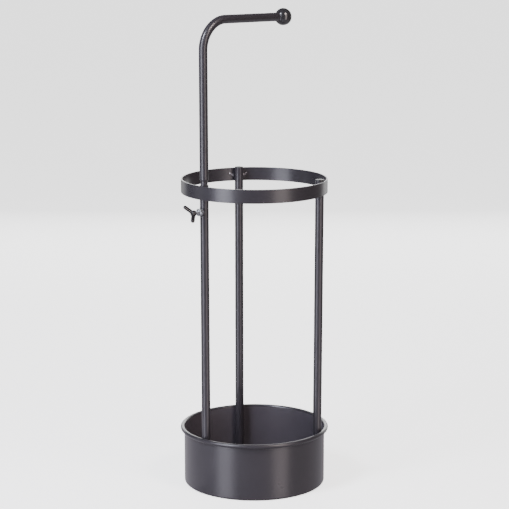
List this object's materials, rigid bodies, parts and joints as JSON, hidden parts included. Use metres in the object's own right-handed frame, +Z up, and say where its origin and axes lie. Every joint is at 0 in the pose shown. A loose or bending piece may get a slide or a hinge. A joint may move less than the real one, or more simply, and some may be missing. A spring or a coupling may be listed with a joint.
{
  "type": "umbrella stand",
  "caption": "Free-standing round umbrella stand: drip pan, tube posts in a flat hoop, and a hook pole that slides, turns and is clamped by a wing screw.",
  "frame": {"origin": "centre of the drip pan's flat underside, on the ground", "axes": "+Z up; +X from the hook's post across the stand, the way the arm points; +Y to the left of someone who looks along +X"},
  "size_m": [0.2415, 0.221, 0.7049],
  "materials": {
    "powder_coat": "semi-gloss black powder coat on steel, fine orange peel",
    "black_screw": "black coated cast metal",
    "black_plastic": "satin moulded plastic",
    "nylon": "natural nylon",
    "zinc_steel": "bright zinc plate"
  },
  "bodies": {
    "frame": {"drip_pan": "powder_coat", "top_ring": "powder_coat", "post_hook": "powder_coat", "post_left": "powder_coat", "post_right": "powder_coat", "post_cap_left": "black_plastic", "post_cap_right": "black_plastic", "foot_insert_hook": "zinc_steel", "foot_insert_left": "zinc_steel", "foot_insert_right": "zinc_steel", "foot_washer_hook": "zinc_steel", "foot_washer_left": "zinc_steel", "foot_washer_right": "zinc_steel", "foot_screw_hook": "zinc_steel", "foot_screw_left": "zinc_steel", "foot_screw_right": "zinc_steel", "weld_nut": "zinc_steel"},
    "guide": {"spigot_guide": "nylon"},
    "hook": {"hook_pole": "powder_coat", "ball_knob": "black_plastic", "knob_stud": "zinc_steel", "arm_insert": "zinc_steel"},
    "pad": {"clamp_pad": "nylon"},
    "wing_screw": {"wing_screw": "black_screw"}
  },
  "joints": [
    {"name": "hook_height", "type": "slide", "parent": "frame", "child": "guide", "axis": [-0.004, 0, 1], "range_m": [-0.0055, 0.06]},
    {"name": "hook_turn", "type": "hinge", "parent": "guide", "child": "hook", "pos_m": [-0.09845, 0, 0.36], "axis": [-0.004, 0, 1], "continuous": true},
    {"name": "screw_travel", "type": "slide", "parent": "frame", "child": "pad", "axis": [-1, 0, -0.004], "range_m": [0, 0.0021]},
    {"name": "screw_turn", "type": "hinge", "parent": "pad", "child": "wing_screw", "pos_m": [-0.0987, 0, 0.422], "axis": [-1, 0, -0.004], "range_deg": [0, 720]}
  ],
  "couplings": [
    {"joint": "screw_travel", "follows": "screw_turn", "m_per_rad": 0.00015915}
  ]
}
